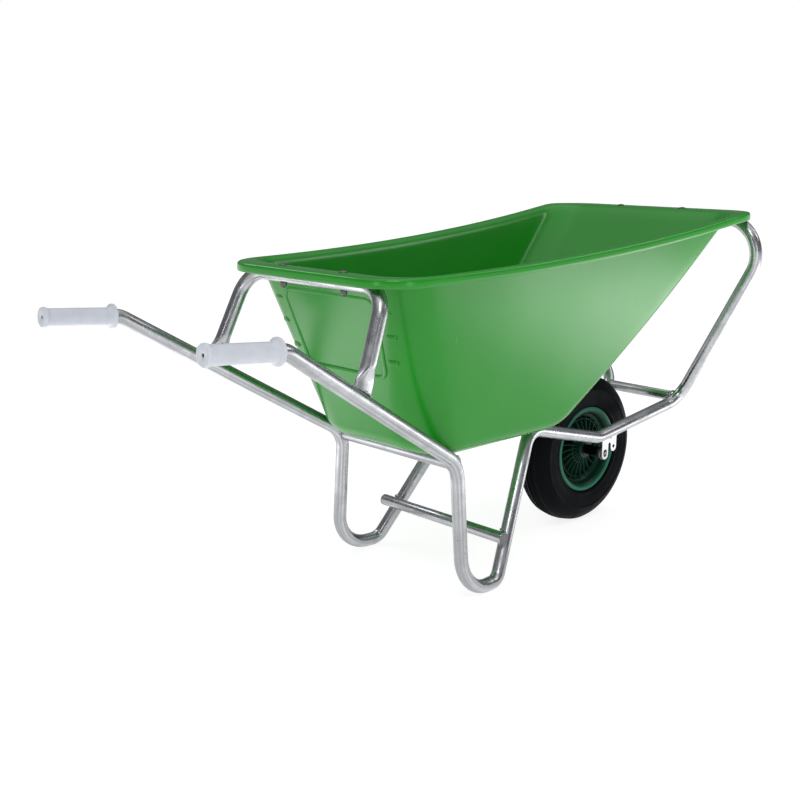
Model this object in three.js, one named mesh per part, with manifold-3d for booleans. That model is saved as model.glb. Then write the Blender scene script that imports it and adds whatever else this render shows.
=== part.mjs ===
// Garden wheelbarrow with a green plastic tray on a bent steel tube frame.
// Millimetres, +Z up. X runs from the grips (-X) to the wheel (+X), Y is the wheel axis,
// the ground is z = 0 and the origin is on the ground at the middle of the length.
import * as THREE from 'three';
import { mergeVertices } from 'three/addons/utils/BufferGeometryUtils.js';
import Module from 'manifold-3d';

const gap = 0.3; // clearance left between parts that touch

// Steel tube
const tubeRadius = 16;
const tubeBore = 14;
const barRadius = 14;
const barBore = 12;
const plugRadius = 10.7;

// Side rail: corners of the left rail, from the grip to the front, with their bend radii
const railCorners = [
  [-846, 292, 662.5],
  [-683, 289.5, 648.5],
  [-147, 194, 319],
  [-148, 216, 16],
  [-24, 206, 16],
  [173, 125, 328],
  [461, 112, 254],
  [766, 111, 293.4],
];
const railBends = [0, 52, 70, 86, 36, 60, 90, 0];

// Front hoop: one bent tube in front of the wheel, under the front rim of the tray
const hoopFootX = 767.4; // just ahead of the rail ends
const hoopFootY = 111;
const hoopFootZ = 293.6;
const hoopKneeX = 826;
const hoopKneeZ = 301;
const hoopKneeBend = 60;
const hoopTopX = 812;
const hoopTopY = 394;
const hoopBend = 91;

// Rear arch: a bent tube on the handles, under the rear rim of the tray
const archFoot = [-470, 251.3, 538.4];
const archTopX = -388;
const archTopY = 229;
const archBend = 66;
const archFlatLength = 46; // the squashed length at each foot
const archFlatThickness = 13;
const handleFall = 0.615; // fall of the handles per unit of length, which the feet are cut to

// Straight cross tubes
const trayBarX = -150;
const trayBarZ = 318;
const trayBarHalf = 176.5;
const stretcherX = -1;
const stretcherZ = 112;
const stretcherHalf = 205;
const frontBarX = 803;
const frontBarZ = 312;
const frontBarHalf = 94.4;

// Wheel
const wheelX = 510;
const wheelRadius = 200;
const tyreHalfWidth = 49;
const rimRadius = 114.5;
const rimHalfWidth = 41.5;
const hubRadius = 26;
const hubHalfWidth = 38;
const bladeCount = 14;
const bladeReach = 88;
const valveAngle = 0.17; // turn of the valve from +X about the axle

// Axle and its brackets
const axleRadius = 10;
const axleEndRadius = 6;
const bracketY = 100; // middle of the bracket plate
const bracketThickness = 5;

// Tray
const floorZ = 335;
const rimRearZ = 750;
const rimFrontZ = 845;
const rimRise = 2.2; // power of the curve that lifts the rim toward the front
const rimLevelFrom = 730; // the rim eases out to level between here
const rimLevelTo = 790; // and here
const rearLift = 14; // how far the floor's rear edge curves up
const rearLiftFrom = -150;
const rearLiftLength = 90;
const wallThickness = 6;
const skin = 5; // thickness of the floor and of the rim
const lipDepth = 20;
const cornerSteps = 5; // facets round each corner of the tray
const trayFloor = { rear: -240, front: 264, rearHalf: 194, frontHalf: 197, corner: 110 };
const trayTop = { rear: -370, front: 792, rearHalf: 263, frontHalf: 298, corner: 76 };
const trayLip = { rear: -430, front: 858, rearHalf: 284, frontHalf: 332, corner: 108 };

// Rim fasteners, M8
const boltRadius = 4;
const boltHoleRadius = 4.6;
const boltHeadRadius = 9.5;
const boltSpread = 101;

const galvanised = { color: 0xb9bdc0, roughness: 0.35, metalness: 0.9 };
const zinc = { color: 0x8f9396, roughness: 0.4, metalness: 0.9 };
const greenTray = { color: 0x1f7a26, roughness: 0.4, metalness: 0 };
const greenWheel = { color: 0x0f4a35, roughness: 0.45, metalness: 0 };
const blackRubber = { color: 0x111214, roughness: 0.75, metalness: 0 };
const greyPlastic = { color: 0x7b7d80, roughness: 0.5, metalness: 0 };
const whiteVinyl = { color: 0xe6e6e4, roughness: 0.5, metalness: 0 };

const wasm = await Module();
wasm.setup();

function part(name, geometry, finish) {
  const mesh = new THREE.Mesh(geometry, new THREE.MeshStandardMaterial(finish));
  mesh.name = name;
  return mesh;
}

// ---- boolean helpers ----

function toManifold(geometry) {
  const plain = geometry.clone();
  plain.deleteAttribute('normal');
  plain.deleteAttribute('uv');
  const welded = mergeVertices(plain, 1e-3);
  return new wasm.Manifold(new wasm.Mesh({
    numProp: 3,
    vertProperties: new Float32Array(welded.attributes.position.array),
    triVerts: new Uint32Array(welded.index.array),
  }));
}

function fromManifold(solid) {
  const { vertProperties, triVerts } = solid.getMesh();
  const geometry = new THREE.BufferGeometry();
  geometry.setAttribute('position', new THREE.Float32BufferAttribute(vertProperties, 3));
  geometry.setIndex(Array.from(triVerts));
  return geometry;
}

function subtract(geometry, cutters) {
  let solid = toManifold(geometry);
  for (const cutter of cutters) solid = solid.subtract(toManifold(cutter));
  return fromManifold(solid);
}

function unite(geometries) {
  const solids = geometries.map(toManifold);
  return fromManifold(solids.reduce((whole, next) => whole.add(next)));
}

// ---- tube helpers ----

// A path of rings: one at each end of a straight, and one every few degrees round a bend.
class RingPath extends THREE.Curve {
  constructor(points, tangents) {
    super();
    this.points = points;
    this.tangents = tangents;
  }

  getPointAt(u) {
    return this.points[Math.round(u * (this.points.length - 1))].clone();
  }

  getTangentAt(u) {
    return this.tangents[Math.round(u * (this.points.length - 1))].clone();
  }
}

function ringPath(corners, bends, degreesPerRing = 18) {
  const at = corners.map((c) => new THREE.Vector3(...c));
  const last = at.length - 1;
  const direction = (i) => at[i + 1].clone().sub(at[i]).normalize();
  const points = [at[0]];
  const tangents = [direction(0)];
  for (let i = 1; i < last; i += 1) {
    const into = direction(i - 1);
    const away = direction(i);
    const turn = into.angleTo(away);
    if (bends[i] === 0) {
      points.push(at[i]);
      tangents.push(into.add(away).normalize());
      continue;
    }
    const side = away.clone().addScaledVector(into, -Math.cos(turn)).normalize();
    const start = at[i].clone().addScaledVector(into, -bends[i] * Math.tan(turn / 2));
    const centre = start.clone().addScaledVector(side, bends[i]);
    const steps = Math.max(2, Math.round(THREE.MathUtils.radToDeg(turn) / degreesPerRing));
    for (let k = 0; k <= steps; k += 1) {
      const angle = (turn * k) / steps;
      points.push(centre.clone()
        .addScaledVector(side, -bends[i] * Math.cos(angle))
        .addScaledVector(into, bends[i] * Math.sin(angle)));
      tangents.push(into.clone().multiplyScalar(Math.cos(angle))
        .addScaledVector(side, Math.sin(angle)));
    }
  }
  points.push(at[last]);
  tangents.push(direction(last - 1));
  return new RingPath(points, tangents);
}

function circle(radius, sides) {
  const ring = [];
  for (let k = 0; k < sides; k += 1) {
    const angle = (2 * Math.PI * k) / sides;
    ring.push(new THREE.Vector2(radius * Math.cos(angle), radius * Math.sin(angle)));
  }
  return ring;
}

function bentTube(corners, bends, radius, bore, sides = 14) {
  const path = ringPath(corners, bends);
  const shape = new THREE.Shape(circle(radius, sides));
  if (bore > 0) shape.holes.push(new THREE.Path(circle(bore, 8)));
  return new THREE.ExtrudeGeometry(shape, { steps: path.points.length - 1, extrudePath: path });
}

// A straight tube along Y, centred on y = 0.
function crossTube(x, z, half, radius, bore) {
  return bentTube([[x, -half, z], [x, half, z]], [0, 0], radius, bore);
}

// A solid turned about the Y axis from a closed outline of [radius, y] pairs.
function turned(outline, sides = 32) {
  const ring = outline.map(([r, y]) => new THREE.Vector2(r, y));
  if (THREE.ShapeUtils.area(ring) < 0) ring.reverse();
  if (ring[0].x > 0) ring.push(ring[0].clone());
  return new THREE.LatheGeometry(ring, sides);
}

function mirrored(corners) {
  return corners.map(([x, y, z]) => [x, -y, z]);
}

// ---- frame ----

function frameRails() {
  const left = bentTube(railCorners, railBends, tubeRadius, tubeBore);
  const right = bentTube(mirrored(railCorners), railBends, tubeRadius, tubeBore);
  return [
    part('frame_rail_left', left, galvanised),
    part('frame_rail_right', right, galvanised),
  ];
}

function rimZ(x) {
  const past = Math.min(Math.max(0, x - rimLevelFrom), rimLevelTo - rimLevelFrom);
  const eased = Math.min(x, rimLevelTo) - past ** 2 / (2 * (rimLevelTo - rimLevelFrom));
  const along = (eased - trayLip.rear) / (trayLip.front - trayLip.rear);
  return rimRearZ + (rimFrontZ - rimRearZ) * Math.max(0, along) ** rimRise;
}

// Angle of the rim from level at x, seen along Y.
function rimTilt(x) {
  return Math.atan2(rimZ(x + 1) - rimZ(x - 1), 2);
}

// Height of the middle of a tube that lies under the rim at x.
function tubeUnderRimZ(x) {
  return rimZ(x) - (skin + gap + tubeRadius) / Math.cos(rimTilt(x));
}

// The axis of a rim bolt: down through the rim and the middle of the tube below it.
function boltAxis(x) {
  const tilt = rimTilt(x);
  const drop = skin + gap + tubeRadius;
  return { tilt, topX: x - drop * Math.sin(tilt), topZ: tubeUnderRimZ(x) + drop * Math.cos(tilt) };
}

// Moves a piece made about the Y axis onto a rim bolt axis, Y = 0 at the top face of the rim.
function onBolt(geometry, x, y) {
  const { tilt, topX, topZ } = boltAxis(x);
  return geometry.rotateX(Math.PI / 2).rotateY(-tilt).translate(topX, y, topZ);
}

function boltHole(x, y) {
  const hole = new THREE.CylinderGeometry(boltHoleRadius, boltHoleRadius, 80, 10);
  return onBolt(hole.translate(0, -20, 0), x, y);
}

function frontHoop() {
  const topZ = tubeUnderRimZ(hoopTopX);
  const half = [
    [hoopFootX, hoopFootY, hoopFootZ],
    [hoopKneeX, hoopFootY, hoopKneeZ],
    [hoopTopX, hoopTopY, topZ],
  ];
  const corners = [...half, ...mirrored(half).reverse()];
  const bends = [0, hoopKneeBend, hoopBend, hoopBend, hoopKneeBend, 0];
  const tube = bentTube(corners, bends, tubeRadius, tubeBore);
  const holes = [boltHole(hoopTopX, boltSpread), boltHole(hoopTopX, -boltSpread)];
  return part('front_hoop', subtract(tube, holes), galvanised);
}

// Squashes the two feet of the arch flat across Y and widens them along the handle.
function flattenFeet(geometry) {
  const spots = geometry.attributes.position;
  const [footX, footY, footZ] = archFoot;
  const topZ = tubeUnderRimZ(archTopX);
  const lean = (archTopX - footX) / (topZ - footZ);
  for (let i = 0; i < spots.count; i += 1) {
    const rise = spots.getZ(i) - footZ;
    if (rise > archFlatLength) continue;
    const share = 1 - THREE.MathUtils.smoothstep(rise, 0.35 * archFlatLength, archFlatLength);
    const along = rise / (topZ - footZ);
    const side = Math.sign(spots.getY(i));
    const middleX = footX + (archTopX - footX) * along;
    const middleY = side * (footY + (archTopY - footY) * along);
    const thin = 1 - share * (1 - archFlatThickness / (2 * tubeRadius));
    const across = spots.getX(i) - middleX;
    const reach = across * (1 + 0.36 * share);
    spots.setX(i, middleX + reach);
    spots.setY(i, middleY + (spots.getY(i) - middleY) * thin);
    spots.setZ(i, spots.getZ(i) - (reach * handleFall - across * lean) * share);
  }
  return geometry;
}

function rearArch() {
  const topZ = tubeUnderRimZ(archTopX);
  const [footX, footY, footZ] = archFoot;
  const leg = (rise) => {
    const along = rise / (topZ - footZ);
    return [footX + (archTopX - footX) * along, footY + (archTopY - footY) * along, footZ + rise];
  };
  const half = [leg(0), leg(16), leg(28), leg(archFlatLength), [archTopX, archTopY, topZ]];
  const corners = [...half, ...mirrored(half).reverse()];
  const bends = corners.map(([, , z]) => (z === topZ ? archBend : 0));
  const tube = flattenFeet(bentTube(corners, bends, tubeRadius, tubeBore));
  const holes = [boltHole(archTopX, boltSpread), boltHole(archTopX, -boltSpread)];
  return part('rear_arch', subtract(tube, holes), galvanised);
}

function crossTubes() {
  return [
    part('tray_cross_tube', crossTube(trayBarX, trayBarZ, trayBarHalf, tubeRadius, tubeBore),
      galvanised),
    part('leg_stretcher', crossTube(stretcherX, stretcherZ, stretcherHalf, barRadius, barBore),
      galvanised),
    part('front_cross_tube', crossTube(frontBarX, frontBarZ, frontBarHalf, barRadius, barBore),
      galvanised),
  ];
}

// ---- axle and brackets ----

// Plate with two fingers: the rear one is slotted for the axle, the front one has a spare hole.
function bracketPlate(side) {
  const railSlope = (railCorners[7][2] - railCorners[6][2]) / (railCorners[7][0] - railCorners[6][0]);
  const railZ = (x) => railCorners[6][2] + railSlope * (x - railCorners[6][0]);
  const topZ = (x) => railZ(x) - 13.6;
  const rearFinger = { x: wheelX, half: 13, end: 196 };
  const frontFinger = { x: wheelX + 35, half: 12, end: 212 };
  const plate = new THREE.Shape();
  plate.moveTo(rearFinger.x - rearFinger.half, topZ(rearFinger.x - rearFinger.half));
  plate.lineTo(rearFinger.x - rearFinger.half, rearFinger.end);
  plate.absarc(rearFinger.x, rearFinger.end, rearFinger.half, Math.PI, 2 * Math.PI);
  plate.lineTo(rearFinger.x + rearFinger.half, 226);
  plate.lineTo(frontFinger.x - frontFinger.half, 226);
  plate.lineTo(frontFinger.x - frontFinger.half, frontFinger.end);
  plate.absarc(frontFinger.x, frontFinger.end, frontFinger.half, Math.PI, 2 * Math.PI);
  plate.lineTo(frontFinger.x + frontFinger.half, 240);
  plate.lineTo(574, 247);
  plate.lineTo(574, topZ(574));
  const slot = new THREE.Path();
  slot.absarc(wheelX, wheelRadius + 3, 7, 0, Math.PI);
  slot.absarc(wheelX, wheelRadius - 3, 7, Math.PI, 2 * Math.PI);
  const spare = new THREE.Path(circle(4.5, 12).map((p) => p.add({ x: frontFinger.x, y: 214 })));
  const dot = new THREE.Path(circle(3.5, 10).map((p) => p.add({ x: 533, y: 240 })));
  plate.holes.push(slot, spare, dot);
  const geometry = new THREE.ExtrudeGeometry(plate, {
    depth: bracketThickness, bevelEnabled: false, curveSegments: 4,
  });
  // The shape is drawn in X and Z; extruding along Z becomes extruding along Y.
  return geometry.rotateX(Math.PI / 2)
    .translate(0, side * bracketY + bracketThickness / 2, 0);
}

function hexNut(half, bore, height) {
  const nut = new THREE.Shape(circle(half / Math.cos(Math.PI / 6), 6));
  nut.holes.push(new THREE.Path(circle(bore, 12)));
  const geometry = new THREE.ExtrudeGeometry(nut, { depth: height, bevelEnabled: false });
  // From standing on Z to standing on Y, with y running from 0 to height.
  return geometry.rotateX(-Math.PI / 2);
}

function onAxle(geometry, side) {
  const placed = side > 0 ? geometry : geometry.rotateX(Math.PI);
  return placed.translate(wheelX, 0, wheelRadius);
}

function ringAlongAxle(inner, outer, start, end, sides = 14) {
  return turned([[inner, start], [outer, start], [outer, end], [inner, end]], sides);
}

function axleParts() {
  const plateInner = bracketY - bracketThickness / 2;
  const plateOuter = bracketY + bracketThickness / 2;
  const shoulder = plateInner - gap;
  const tip = plateOuter + 1;
  const rod = turned([
    [0, -tip], [axleEndRadius, -tip], [axleEndRadius, -shoulder], [axleRadius, -shoulder],
    [axleRadius, shoulder], [axleEndRadius, shoulder], [axleEndRadius, tip], [0, tip],
  ], 16);
  const parts = [part('axle', onAxle(rod, 1), zinc)];
  for (const [label, side] of [['left', 1], ['right', -1]]) {
    const nutStart = shoulder - 12.6;
    const washer = ringAlongAxle(axleRadius + 2 * gap, 18, shoulder - 3, shoulder - 0.5);
    const nut = hexNut(15, axleRadius + 3 * gap, 9).translate(0, nutStart, 0);
    const spacer = ringAlongAxle(axleRadius + 2 * gap, 13.5, 41, nutStart - gap);
    parts.push(
      part(`axle_bracket_${label}`, bracketPlate(side), galvanised),
      part(`axle_washer_${label}`, onAxle(washer, side), zinc),
      part(`axle_nut_${label}`, onAxle(nut, side), zinc),
      part(`axle_spacer_${label}`, onAxle(spacer, side), zinc),
    );
  }
  return parts;
}

// ---- wheel ----

// One curved fan blade, drawn in X and Y and extruded across the wheel.
function fanBlade(angle, halfWidth) {
  const start = hubRadius - 2;
  const middle = 58;
  const swing = -20; // how far the outer end leads the inner end
  const thick = 1.6;
  const blade = new THREE.Shape();
  blade.moveTo(start, -thick);
  blade.quadraticCurveTo(middle, -thick, bladeReach, swing - thick);
  blade.lineTo(bladeReach, swing + thick);
  blade.quadraticCurveTo(middle, thick, start, thick);
  const geometry = new THREE.ExtrudeGeometry(blade, {
    depth: 2 * halfWidth, bevelEnabled: false, curveSegments: 2,
  });
  return geometry.translate(0, 0, -halfWidth).rotateX(-Math.PI / 2).rotateY(angle);
}

// Plastic wheel centre: drop-centre rim, hub, web and fan blades moulded in one.
function wheelCentre() {
  const w = rimHalfWidth;
  const rim = turned([
    [rimRadius, w], [rimRadius, w - 3.5], [103, w - 7], [100, 20], [92, 15],
    [92, -15], [100, -20], [103, 7 - w], [rimRadius, 3.5 - w], [rimRadius, -w],
    [107, -w], [97, 5 - w], [94, -23], [86, -18],
    [86, 18], [94, 23], [97, w - 5], [107, w],
  ]);
  const hub = ringAlongAxle(14.6, hubRadius, -hubHalfWidth, hubHalfWidth, 16);
  const web = ringAlongAxle(hubRadius - 2, bladeReach, -2, 2, 32);
  const blades = [];
  for (let k = 0; k < bladeCount; k += 1) {
    blades.push(fanBlade((2 * Math.PI * k) / bladeCount, 19));
  }
  const valveHole = new THREE.CylinderGeometry(4.6, 4.6, 24, 10).translate(0, 90, 0);
  const valveWindow = new THREE.CylinderGeometry(12, 12, 60, 12)
    .rotateX(Math.PI / 2).translate(0, 71, 0);
  const cuts = [valveHole, valveWindow].map(towardValve);
  return subtract(unite([rim, hub, web, ...blades]), cuts);
}

// Turns a piece made along +Y so that it lies along the valve's radius.
function towardValve(geometry) {
  return geometry.rotateZ(-Math.PI / 2).rotateY(valveAngle);
}

// A closed section that is the same on both sides of y = 0, from one half of it.
function bothSides(half) {
  return [...half, ...half.map(([r, y]) => [r, -y]).reverse()];
}

function tyre() {
  const outer = bothSides([[103.6, 33.4], [115.2, 37.6], [118, 43.5], [132, 48],
    [152, tyreHalfWidth], [174, 45], [191, 31], [wheelRadius, 10]]);
  const inner = bothSides([[103.6, 21.5], [112, 27], [128, 37.5], [152, 40.5],
    [174, 34], [188.5, 9]]);
  return turned([...outer, ...inner.reverse()]);
}

function innerTube() {
  const skinOutline = bothSides([[94, 11], [104, 19], [128, 35.5], [152, 38.5], [172, 32.5],
    [186.5, 8]]);
  const airOutline = bothSides([[97, 10], [105.5, 16.5], [129, 33], [151, 35.6], [170, 30],
    [183.4, 8]]);
  const valveBore = towardValve(new THREE.CylinderGeometry(2.4, 2.4, 20, 8).translate(0, 95, 0));
  return subtract(turned(skinOutline, 26), [turned(airOutline, 26), valveBore]);
}

function valveParts() {
  const stem = turned([[0, 66], [3.4, 66], [3.4, 78], [4.2, 80], [4.2, 92.6], [0, 92.6]], 12);
  const cap = turned([[3.7, 66.5], [3.7, 62.5], [0, 62.5], [0, 60], [4.6, 60], [5, 61], [5, 66.5]],
    12);
  return [part('valve_stem', towardValve(stem), blackRubber),
    part('valve_cap', towardValve(cap), blackRubber)];
}

function wheelParts() {
  const parts = [
    part('wheel_centre', wheelCentre(), greenWheel),
    part('tyre', tyre(), blackRubber),
    part('inner_tube', innerTube(), blackRubber),
    ...valveParts(),
  ];
  for (const [label, side] of [['left', 1], ['right', -1]]) {
    const bush = turned([[axleRadius + gap, 26], [14, 26], [14, hubHalfWidth + gap],
      [18, hubHalfWidth + gap], [18, 40.6], [axleRadius + gap, 40.6]], 16);
    parts.push(part(`wheel_bush_${label}`, side > 0 ? bush : bush.rotateX(Math.PI), zinc));
  }
  for (const piece of parts) piece.geometry.translate(wheelX, 0, wheelRadius);
  return parts;
}

// ---- tray ----

function mixOutline(a, b, share) {
  const mix = (key) => a[key] + (b[key] - a[key]) * share;
  return {
    rear: mix('rear'),
    front: mix('front'),
    rearHalf: mix('rearHalf'),
    frontHalf: mix('frontHalf'),
    corner: mix('corner'),
  };
}

function inset(outline, by) {
  return {
    rear: outline.rear + by,
    front: outline.front - by,
    rearHalf: outline.rearHalf - by,
    frontHalf: outline.frontHalf - by,
    corner: Math.max(10, outline.corner - by),
  };
}

// Plan of one ring: a trapezium with rounded corners, always with the same number of points.
function planPoints({ rear, front, rearHalf, frontHalf, corner }) {
  const tips = [[rear, -rearHalf], [front, -frontHalf], [front, frontHalf], [rear, rearHalf]]
    .map(([x, y]) => new THREE.Vector2(x, y));
  const arcs = tips.map((tip, i) => {
    const before = tips[(i + 3) % 4].clone().sub(tip).normalize();
    const after = tips[(i + 1) % 4].clone().sub(tip).normalize();
    const half = Math.acos(before.dot(after)) / 2;
    const centre = before.clone().add(after).setLength(corner / Math.sin(half)).add(tip);
    const start = before.clone().multiplyScalar(corner / Math.tan(half)).add(tip).sub(centre);
    const arc = [];
    for (let k = 0; k <= cornerSteps; k += 1) {
      const angle = ((Math.PI - 2 * half) * k) / cornerSteps;
      arc.push(start.clone().rotateAround(new THREE.Vector2(), angle).add(centre));
    }
    return arc;
  });
  const points = [];
  arcs.forEach((arc, i) => {
    points.push(...arc);
    const onto = arcs[(i + 1) % 4][0];
    const pieces = i % 2 === 0 ? 5 : 1;
    for (let k = 1; k < pieces; k += 1) points.push(arc[cornerSteps].clone().lerp(onto, k / pieces));
  });
  return points;
}

// Height of the underside of the floor at x.
function bottomZ(x) {
  const along = Math.min(Math.max(0, rearLiftFrom - x) / rearLiftLength, 1);
  return floorZ + rearLift * along ** 2;
}

// One ring of the tray skin: `share` of the way up from the floor to the rim, plus a lift.
function trayRing(outline, share, lift) {
  return planPoints(outline).map(({ x, y }) => (
    [x, y, bottomZ(x) + (rimZ(x) - bottomZ(x)) * share + lift]));
}

function trayWall(share, by, lift = 0) {
  return trayRing(inset(mixOutline(trayFloor, trayTop, share), by), share, lift);
}

function tray() {
  const edge = [[0, 92, 0], [0, 50, 0], [0, 24, 3.5], [0.03, 8, 0], [0.08, 1.5, 0]];
  const rings = [
    ...edge.map(([share, by, lift]) => trayWall(share, by, lift)),
    trayWall(0.35, 0),
    trayWall(0.7, 0),
    trayWall(1, 0, -skin - 13),
    trayWall(1, -5.5, -skin - 5),
    trayWall(1, -14, -skin),
    trayRing(inset(trayLip, skin), 1, -skin),
    trayRing(inset(trayLip, skin), 1, -lipDepth),
    trayRing(trayLip, 1, -lipDepth),
    trayRing(trayLip, 1, -5),
    trayRing(inset(trayLip, 2), 1, -1.4),
    trayRing(inset(trayLip, 6), 1, 0),
    trayWall(1, -13, 0),
    trayWall(1, -4, -2.5),
    trayWall(1, 3, -9),
    trayWall(1, wallThickness, -20),
    trayWall(0.7, wallThickness, 0),
    trayWall(0.35, wallThickness, 0),
    ...edge.map(([share, by, lift]) => trayWall(share, by + 5, lift + skin)).reverse(),
  ];
  const shell = skinThrough(rings);
  const holes = [archTopX, hoopTopX].flatMap((x) => (
    [boltHole(x, boltSpread), boltHole(x, -boltSpread)]));
  return part('tray', subtract(shell, holes), greenTray);
}

// A closed skin through rings of equal length, capped flat at the first and last ring.
function skinThrough(rings) {
  const count = rings[0].length;
  const points = rings.flat();
  const index = [];
  for (let r = 0; r + 1 < rings.length; r += 1) {
    for (let k = 0; k < count; k += 1) {
      const here = r * count + k;
      const next = r * count + ((k + 1) % count);
      index.push(here, next, next + count, here, next + count, here + count);
    }
  }
  const [first, last] = [0, (rings.length - 1) * count];
  for (let k = 1; k + 1 < count; k += 1) {
    index.push(first, first + k + 1, first + k);
    index.push(last, last + k, last + k + 1);
  }
  const geometry = new THREE.BufferGeometry();
  geometry.setAttribute('position', new THREE.Float32BufferAttribute(points.flat(), 3));
  geometry.setIndex(index);
  return geometry;
}

// ---- rim fasteners ----

// Dome-head bolt, washer and nut; y = 0 is the top face of the rim.
function rimFasteners() {
  const tubeBottom = -(skin + gap + 2 * tubeRadius);
  const washerTop = tubeBottom - gap;
  const nutTop = washerTop - 1.6 - gap;
  const parts = [];
  for (const [place, x] of [['rear', archTopX], ['front', hoopTopX]]) {
    for (const [label, y] of [['left', boltSpread], ['right', -boltSpread]]) {
      const bolt = turned([[0, -49], [boltRadius, -49], [boltRadius, gap], [boltHeadRadius, gap],
        [boltHeadRadius, 1.6], [6.5, 4.2], [0, 5.4]], 10);
      const washer = ringAlongAxle(boltRadius + gap, 8, washerTop - 1.6, washerTop, 10);
      const nut = hexNut(6.5, boltRadius + gap, 6.5).translate(0, nutTop - 6.5, 0);
      parts.push(
        part(`rim_bolt_${place}_${label}`, onBolt(bolt, x, y), zinc),
        part(`rim_washer_${place}_${label}`, onBolt(washer, x, y), zinc),
        part(`rim_nut_${place}_${label}`, onBolt(nut, x, y), zinc),
      );
    }
  }
  return parts;
}

// ---- grips and tube plugs ----

// Vinyl sleeve with a bead at the closed end and a wide flange at the open end.
function grip() {
  const bore = tubeRadius + 2 * gap + 0.2;
  const length = 150;
  const outline = [
    [4, -12], [17, -12], [21.5, -9.5], [22.5, -6], [21, -2], [18.8, 1],
    [18.6, length - 22], [20.5, length - 16], [26, length - 10], [27, length - 5],
    [25, length - 1.5], [bore, length], [bore, -gap], [4, -gap],
  ];
  return turned(outline, 16);
}

// Lays a piece made along +Y on the straight end of a handle, y = 0 at the tube's end.
function onHandle(geometry, side) {
  const [end, bend] = railCorners.slice(0, 2)
    .map(([x, y, z]) => new THREE.Vector3(x, side * y, z));
  const turn = new THREE.Quaternion()
    .setFromUnitVectors(new THREE.Vector3(0, 1, 0), bend.sub(end).normalize());
  return geometry.applyQuaternion(turn).translate(end.x, end.y, end.z);
}

function stretcherPlug(side) {
  const plug = turned([[0, -10], [plugRadius, -10], [plugRadius, gap], [barRadius, gap],
    [barRadius, 2.2], [barRadius - 2, 3.4], [0, 3.4]], 14);
  const placed = side > 0 ? plug : plug.rotateX(Math.PI);
  return placed.translate(stretcherX, side * stretcherHalf, stretcherZ);
}

function endPieces() {
  const parts = [];
  for (const [label, side] of [['left', 1], ['right', -1]]) {
    parts.push(
      part(`grip_${label}`, onHandle(grip(), side), whiteVinyl),
      part(`stretcher_plug_${label}`, stretcherPlug(side), greyPlastic),
    );
  }
  return parts;
}

const wheelbarrow = new THREE.Group();
wheelbarrow.name = 'wheelbarrow';
wheelbarrow.add(
  ...frameRails(),
  frontHoop(),
  rearArch(),
  ...crossTubes(),
  ...axleParts(),
  ...wheelParts(),
  tray(),
  ...rimFasteners(),
  ...endPieces(),
);

export default wheelbarrow;
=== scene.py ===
"""The looks of the wheelbarrow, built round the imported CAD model.

Shapes are worked out in millimetres, as in the CAD, and turned into metres as each mesh is made.
+X runs from the grips to the wheel, +Y is the wheel axis and +Z is up.
"""

import math

import bmesh
import bpy
from mathutils import Matrix, Vector, noise


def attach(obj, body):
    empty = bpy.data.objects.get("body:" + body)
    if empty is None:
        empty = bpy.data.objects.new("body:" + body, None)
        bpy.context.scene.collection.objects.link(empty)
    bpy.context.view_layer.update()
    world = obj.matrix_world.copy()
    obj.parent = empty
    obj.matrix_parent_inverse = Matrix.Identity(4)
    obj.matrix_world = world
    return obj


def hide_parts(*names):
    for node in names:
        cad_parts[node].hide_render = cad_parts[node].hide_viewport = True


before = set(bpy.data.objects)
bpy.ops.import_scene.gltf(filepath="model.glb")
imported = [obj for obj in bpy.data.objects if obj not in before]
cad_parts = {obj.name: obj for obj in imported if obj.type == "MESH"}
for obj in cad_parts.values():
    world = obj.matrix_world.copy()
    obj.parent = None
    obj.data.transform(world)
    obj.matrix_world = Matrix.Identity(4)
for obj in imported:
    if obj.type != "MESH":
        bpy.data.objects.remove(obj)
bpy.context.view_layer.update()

# ---- sizes in millimetres ----

TUBE_RADIUS = 16
BAR_RADIUS = 14
TUBE_SIDES = 40

RAIL_CORNERS = [
    (-846, 292, 662.5),
    (-683, 289.5, 648.5),
    (-147, 194, 319),
    (-148, 216, 16),
    (-24, 206, 16),
    (173, 125, 328),
    (461, 112, 254),
    (767.4, 111, 293.6),
]
RAIL_BENDS = [0, 52, 70, 86, 36, 60, 90, 0]

HOOP_FOOT = (767.4, 111, 293.6)
HOOP_KNEE = (826, 111, 301)
HOOP_TOP_X = 812
HOOP_TOP_Y = 394
HOOP_KNEE_BEND = 60
HOOP_BEND = 91

ARCH_FOOT = (-470, 251.3, 537.6)
ARCH_TOP_X = -388
ARCH_TOP_Y = 229
ARCH_BEND = 66
ARCH_FLAT_LENGTH = 46
ARCH_FLAT_THICKNESS = 13
HANDLE_FALL = 0.615

TRAY_BAR = (-150, 318)
TRAY_BAR_HALF = 180
STRETCHER = (-1, 112)
STRETCHER_HALF = 205
FRONT_BAR = (803, 312)
FRONT_BAR_HALF = 98

WHEEL = Vector((510, 0, 200))
BRACKET_Y = 100
BRACKET_THICKNESS = 5
AXLE_RADIUS = 10
AXLE_END_RADIUS = 6
BLADES = 24
VALVE_ANGLE = 0.17

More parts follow.
